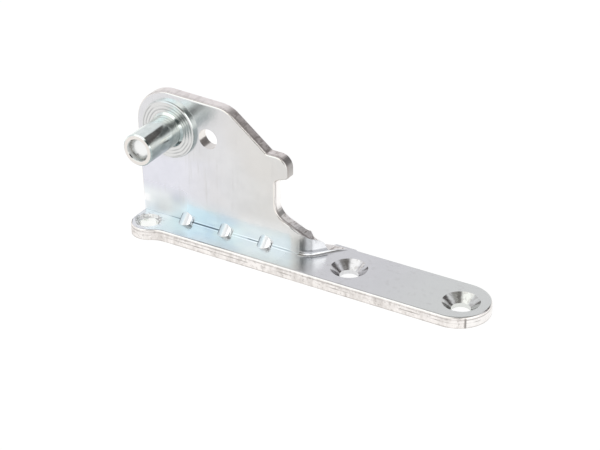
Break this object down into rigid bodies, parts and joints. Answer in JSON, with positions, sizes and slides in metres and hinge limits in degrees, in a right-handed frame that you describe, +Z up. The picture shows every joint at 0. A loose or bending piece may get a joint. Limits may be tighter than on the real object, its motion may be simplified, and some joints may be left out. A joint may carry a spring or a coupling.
{
  "type": "fridge door hinge",
  "caption": "Folded steel bracket with an upright web, a riveted hinge pin and a flat strap with countersunk screw holes, carrying a fridge door at one corner.",
  "frame": {"origin": "on the hinge axis, halfway along the pin's bearing surface", "axes": "+X along the strap from the pin to its far end, -Y along the pin to its free tip, +Z up from the strap"},
  "size_m": [0.152, 0.0356, 0.058],
  "materials": {
    "bracket": "zinc plated sheet",
    "hinge_pin": "zinc plated, turned"
  },
  "bodies": {
    "root": {"bracket": "bracket", "hinge_pin": "hinge_pin"}
  },
  "joints": []
}
